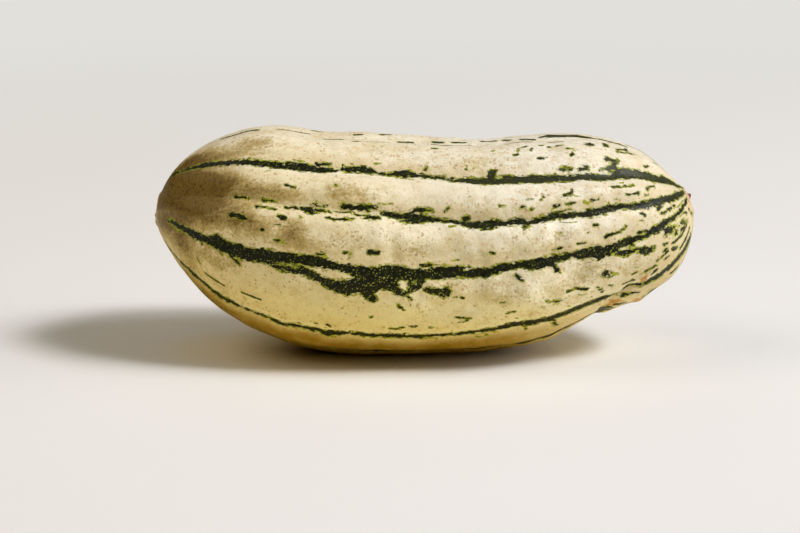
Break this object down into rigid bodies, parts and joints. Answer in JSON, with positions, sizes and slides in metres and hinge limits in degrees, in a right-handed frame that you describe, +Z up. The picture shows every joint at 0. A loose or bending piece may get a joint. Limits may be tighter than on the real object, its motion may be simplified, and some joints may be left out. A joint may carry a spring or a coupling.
{
  "type": "delicata squash",
  "caption": "Whole delicata squash, cream with broken dark green stripes in its furrows, slightly bent, lying on a small flat spot.",
  "frame": {"origin": "bottom centre of the fruit's bounding box, in the plane of the flat spot it rests on", "axes": "+X along the fruit towards the blossom end, +Z up away from the resting surface, -Y towards its best side"},
  "size_m": [0.185, 0.0752, 0.0779],
  "materials": {
    "squash_skin": "satin waxy skin, cream with dark green broken stripes, lime green fringes, brown freckles and tan cork at the ends"
  },
  "bodies": {
    "root": {"delicata_squash": "squash_skin"}
  },
  "joints": []
}
